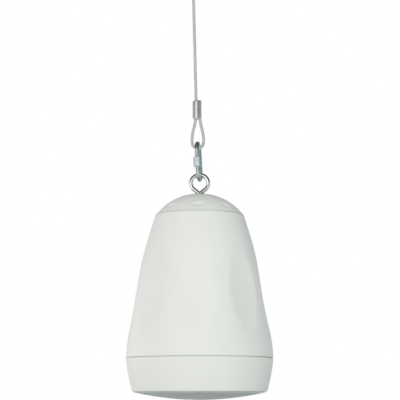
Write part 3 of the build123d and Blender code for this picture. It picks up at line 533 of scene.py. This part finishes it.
# Grille: a perforated sheet pressed to a shallow dome
sheet = {
    "sphereR": 397.1,
    "depth": 11.2,
    "thickness": 1.0,
    "pitch": 3.4,
    "holeR": 1.2,
    "holeSides": 12,
    "underHem": 1.2,  # how far it runs on past the hem's inner edge
    "mergeGap": 0.02,
}
hem = {
    "inner": 85.6,
    "outer": 89.6,
    "shelfH": 9.0,
    "proud": 0.15,  # how far it stands out from the sheet
    "bend": 1.2,  # length of the outer bend, and where its middle lies
    "bendMiddle": 0.35,
    "innerBend": 0.6,
    "rows": 7,
    "around": 192,
}


def grilleHeight(r):
    return sheet["sphereR"] - sheet["depth"] - math.sqrt(sheet["sphereR"] ** 2 - r**2)


# One hexagonal cell of the sheet, with its round hole
def makeCell(pitch):
    sixth = math.radians(60)
    sides = sheet["holeSides"]
    bm = bmesh.new()
    hole = bmesh.ops.create_circle(bm, segments=sides, radius=sheet["holeR"] * mm)["verts"]
    border = bmesh.ops.create_circle(bm, segments=sides, radius=pitch / math.sqrt(3))["verts"]
    turned = Matrix.Rotation(sixth / 2, 3, "Z")
    bmesh.ops.rotate(bm, verts=hole + border, cent=(0, 0, 0), matrix=turned)
    for vert in border:
        bearing = math.atan2(vert.co.y, vert.co.x)
        toFlat = (bearing + sixth / 2) % sixth - sixth / 2
        vert.co *= (pitch / 2 / math.cos(toFlat)) / vert.co.length
    bmesh.ops.bridge_loops(bm, edges=bm.edges[:])
    cell = bpy.data.meshes.new("grille_cell")
    bm.to_mesh(cell)
    bm.free()
    return cell


def makeSheet():
    pitch = sheet["pitch"] * mm
    rowStep = pitch * math.sqrt(3) / 2
    holder = addObject("grille_cells", makeCell(pitch))
    columns = int(hem["inner"] * mm / pitch) + 2
    rows = int(hem["inner"] * mm / rowStep) + 2
    for label, count, offset in (
        ("pair", 2, (pitch / 2, rowStep, 0)),
        ("rows", rows + 1, (0, 2 * rowStep, 0)),
        ("columns", 2 * columns + 1, (pitch, 0, 0)),
    ):
        array = holder.modifiers.new(label, "ARRAY")
        array.count = count
        array.use_relative_offset = False
        array.use_constant_offset = True
        array.constant_offset_displace = offset
        array.use_merge_vertices = True
        array.merge_threshold = sheet["mergeGap"] * mm
    bm = bmesh.new()
    bm.from_mesh(takeMesh(holder))
    bmesh.ops.translate(bm, verts=bm.verts, vec=(-columns * pitch, -rows * rowStep, 0))
    limit = (hem["inner"] + sheet["underHem"]) * mm
    outside = [face for face in bm.faces if face.calc_center_median().length > limit]
    bmesh.ops.delete(bm, geom=outside, context="FACES")
    for vert in bm.verts:
        r = vert.co.length / mm
        vert.co = Vector((axisX + vert.co.x, vert.co.y, rimZ + grilleHeight(r) * mm))
    piece = finishPiece("grille_sheet", bm, powderGrey, "speaker", "grey_mesh", "grille")
    solid = piece.modifiers.new("thickness", "SOLIDIFY")
    solid.thickness = sheet["thickness"] * mm
    solid.offset = -1
    return piece


grilleSheet = makeSheet()
print("grille made:", len(grilleSheet.data.polygons), "faces")


# The grille's unpierced rim, folded up into the ring's pocket
def makeHem():
    inner, outer, shelf, bend = hem["inner"], hem["outer"], hem["shelfH"], hem["bend"]
    thickness, middle, foot = sheet["thickness"], hem["bendMiddle"], grilleHeight(outer)
    inside = outer - thickness
    start = (inner, grilleHeight(inner) + thickness)
    radii = np.linspace(inner, outer - bend, hem["rows"])
    profile = [start] + [(r, grilleHeight(r) - hem["proud"]) for r in radii]
    profile += [(outer - middle, foot + middle), (outer, foot + bend), (outer, shelf)]
    profile += [(inside, shelf), (inside, foot + thickness + hem["innerBend"]), start]
    bm = spinProfile(profile, hem["around"])
    return finishPiece("grille_hem", bm, powderGrey, "speaker", "grey_mesh")


grilleHem = makeHem()
print("grille hem made:", len(grilleHem.data.polygons), "faces")

# Rope, in metres: its route goes from the end ball down round the link and back to the ferrule
rope = {
    "route": [
        (0.0, 0.0, -0.016792),
        (0.0043, 0.0, -0.180992),
        (0.0043, 0.0, -0.207892),
        (-0.00155, 0.0, -0.228392),
        (-0.00155, 0.0, -0.246892),
        (0.01465, 0.0, -0.246892),
        (0.01465, 0.0, -0.228392),
        (0.0088, 0.0, -0.207892),
        (0.0088, 0.0, -0.179492),
    ],
    "length": 0.3087,
    "diameter": 0.0042,
    "strands": 6,
    "strandDepth": 0.00007,  # how deep the coat sinks between strands
    "lay": 0.026,  # length in which a strand goes once round
    "smoothness": 24,
    "sides": 36,
    "step": 0.0008,
}


# The middle line of the rope, as evenly spaced places and how far along each one lies
def ropePlaces():
    curve = bpy.data.curves.new("rope_route", "CURVE")
    curve.dimensions = "3D"
    curve.resolution_u = rope["smoothness"]
    spline = curve.splines.new("NURBS")
    spline.points.add(len(rope["route"]) - 1)
    for point, place in zip(spline.points, rope["route"]):
        point.co = (*place, 1.0)
    spline.order_u = 3
    spline.use_endpoint_u = True
    path = np.array([vert.co for vert in takeMesh(addObject("rope_route", curve)).vertices])
    run = np.concatenate([[0], np.cumsum(np.linalg.norm(np.diff(path, axis=0), axis=1))])
    marks = np.linspace(0, run[-1], int(run[-1] / rope["step"]))
    spots = [Vector([np.interp(mark, run, path[:, axis]) for axis in range(3)]) for mark in marks]
    return marks, spots


# How far the coat sinks at an angle round the rope, measured from a strand
def strandDip(angle):
    return rope["strandDepth"] * (1 - abs(math.cos(rope["strands"] / 2 * angle))) ** 2


def makeRope():
    marks, spots = ropePlaces()
    last = len(spots) - 1
    bearings = [2 * math.pi * k / rope["sides"] for k in range(rope["sides"])]
    radius = rope["diameter"] / 2
    side = Vector((0, 1, 0))
    bm = bmesh.new()
    before = None
    for k, spot in enumerate(spots):
        ahead = spots[min(k + 1, last)] - spots[max(k - 1, 0)]
        over = ahead.normalized().cross(side)
        turn = 2 * math.pi * marks[k] / rope["lay"]
        here = []
        for bearing in bearings:
            outwards = side * math.sin(bearing) + over * math.cos(bearing)
            here.append(bm.verts.new(spot + outwards * (radius - strandDip(bearing - turn))))
        if before:
            for a, b, c, d in zip(before, before[1:] + before[:1], here[1:] + here[:1], here):
                bm.faces.new((a, b, c, d))
        if k in (0, last):
            bm.faces.new(here)
        before = here
    piece = finishPiece("rope_line", bm, coatedRope, "suspension", "rope_coat", "suspension_rope")
    return piece


ropeLine = makeRope()
print("rope made:", len(ropeLine.data.polygons), "faces")

# Camera, as far away as the photograph's perspective shows, just under the rim and tilted up
camera = {
    "distance": 1.840,
    "underRim": 0.0134,
    "aside": 0.0005,
    "lens": 121.5,
    "sensor": 36.0,
    "tilt": 8.49,
}
view = bpy.data.cameras.new("camera")
view.lens = camera["lens"]
view.sensor_width = camera["sensor"]
viewer = addObject("camera", view)
viewer.location = (axisX + camera["aside"], -camera["distance"], rimZ - camera["underRim"])
viewer.rotation_euler = (math.radians(90 + camera["tilt"]), 0, 0)
bpy.context.scene.camera = viewer

# Surroundings. The camera sees white, also through clear things. Matt surfaces get a plain level
# of light, a little cooler from the right. Mirrors see a bright front, grey sides, a dark ceiling
# and white behind. A span is where one turns to the next, as shares of the whole direction.
room = {
    "level": 0.45,
    "fromAbove": 0.4,
    "aboveSpan": (0.2, 0.9),
    "left": "fffdfd",
    "right": "f2feff",
    "mirrorLeft": 0.7,
    "mirrorRight": 0.6,
    "mirrorFront": 2.3,
    "frontAt": -0.33,  # sideways, a negative share being to the left
    "frontSpan": (0.15, 0.5),
    "mirrorBack": 1.0,
    "backSpan": (0.0, 0.4),
    "mirrorCeiling": 0.12,
    "ceilingSpan": (0.1, 0.45),
}
world = bpy.data.worlds.new("room")
bpy.context.scene.world = world
world.use_nodes = True
worldTree = world.node_tree


# From one value to another while position goes through span
def fade(position, span, before, after):
    ends = {"From Min": span[0], "From Max": span[1]}
    node = addNode(worldTree, "ShaderNodeMapRange", ends, {"Value": position})
    node.interpolation_type = "SMOOTHSTEP"
    for name, value in (("To Min", before), ("To Max", after)):
        if isinstance(value, float):
            node.inputs[name].default_value = value
        else:
            worldTree.links.new(value, node.inputs[name])
    return node.outputs["Result"]


# 1 for a ray of any of these kinds, and 0 for the others
def rayIs(tree, *kinds):
    ray = addNode(tree, "ShaderNodeLightPath").outputs
    found = ray[kinds[0]]
    for kind in kinds[1:]:
        both = {0: found, 1: ray[kind]}
        found = addNode(tree, "ShaderNodeMath", links=both, operation="MAXIMUM").outputs[0]
    return found


leftToRight, noToYes = (-1.0, 1.0), (0.0, 1.0)
towards = {"Vector": addNode(worldTree, "ShaderNodeTexCoord").outputs["Generated"]}
sideways, backwards, upwards = addNode(worldTree, "ShaderNodeSeparateXYZ", links=towards).outputs
frontAt = {1: room["frontAt"]}
fromFront = addNode(worldTree, "ShaderNodeMath", frontAt, {0: sideways}, operation="SUBTRACT")
offFront = {0: fromFront.outputs[0]}
offFront = addNode(worldTree, "ShaderNodeMath", links=offFront, operation="ABSOLUTE").outputs[0]
mirrored = fade(sideways, leftToRight, room["mirrorLeft"], room["mirrorRight"])
mirrored = fade(offFront, room["frontSpan"], room["mirrorFront"], mirrored)
mirrored = fade(backwards, room["backSpan"], mirrored, room["mirrorBack"])
mirrored = fade(upwards, room["ceilingSpan"], mirrored, room["mirrorCeiling"])
plain = fade(upwards, room["aboveSpan"], room["level"], room["fromAbove"])
lit = fade(rayIs(worldTree, "Is Glossy Ray"), noToYes, plain, mirrored)
seen = rayIs(worldTree, "Is Camera Ray", "Is Transmission Ray")
rightness = {"Fac": fade(sideways, leftToRight, 0.0, 1.0)}
tint = addNode(worldTree, "ShaderNodeValToRGB", links=rightness)
tint.color_ramp.elements[0].color = fromHex(room["left"])
tint.color_ramp.elements[1].color = fromHex(room["right"])
tinted = {"Fac": seen, "Color1": tint.outputs["Color"]}
colour = addNode(worldTree, "ShaderNodeMixRGB", {"Color2": white}, tinted)
background = worldTree.nodes["Background"]
worldTree.links.new(colour.outputs["Color"], background.inputs["Color"])
worldTree.links.new(fade(seen, noToYes, lit, 1.0), background.inputs["Strength"])

# The floor looks white to the camera, mirrors and clear things, and takes the object's shadow
ground = {
    "underRim": 2.4,
    "radius": 14.0,
    "sides": 96,
    "tone": "f4f4f2",
    "roughness": 0.9,
    "glow": 0.58,
}


def makeFloor():
    bm = bmesh.new()
    bmesh.ops.create_circle(bm, cap_ends=True, segments=ground["sides"], radius=ground["radius"])
    bmesh.ops.translate(bm, verts=bm.verts, vec=(0, 0, rimZ - ground["underRim"]))
    mesh = bpy.data.meshes.new("floor")
    bm.to_mesh(mesh)
    bm.free()
    paper, tree, shader = startMaterial("white_paper")
    tone = fromHex(ground["tone"])
    setShader(shader, Base_Color=tone, Roughness=ground["roughness"], Emission_Color=white)
    shown = {0: rayIs(tree, "Is Glossy Ray", "Is Transmission Ray", "Is Camera Ray")}
    glow = addNode(tree, "ShaderNodeMath", {1: ground["glow"]}, shown, operation="MULTIPLY")
    tree.links.new(glow.outputs[0], shader.inputs["Emission Strength"])
    mesh.materials.append(paper)
    return addObject("floor", mesh)


floor = makeFloor()

lamps = {
    "left": {"place": (-2.1, 0.0, -0.35), "width": 0.9, "watts": 8.0},
    "behind": {"place": (-1.75, 1.25, -0.35), "width": 0.9, "watts": 12.5},
    "front": {"place": (0.15, -2.2, 0.05), "width": 1.0, "watts": 29.0},
    "back": {"place": (0.5, 2.3, -0.2), "width": 1.0, "watts": 18.0},
}
aimHeight = 0.13  # over the rim
aim = Vector((axisX, 0, rimZ + aimHeight))


# The lamps don't show in mirrors: the bright places there are in the surroundings above
def addLamp(name, place, width, watts):
    lamp = bpy.data.lights.new(name, "AREA")
    lamp.shape = "SQUARE"
    lamp.size = width
    lamp.energy = watts
    holder = addObject(name, lamp)
    holder.visible_glossy = False
    holder.visible_camera = False
    holder.location = place
    holder.rotation_euler = (aim - Vector(place)).to_track_quat("-Z", "Y").to_euler()


for name, lamp in lamps.items():
    addLamp(name, **lamp)
print("camera, room and lamps set")

bpy.context.scene.view_settings.view_transform = "Standard"
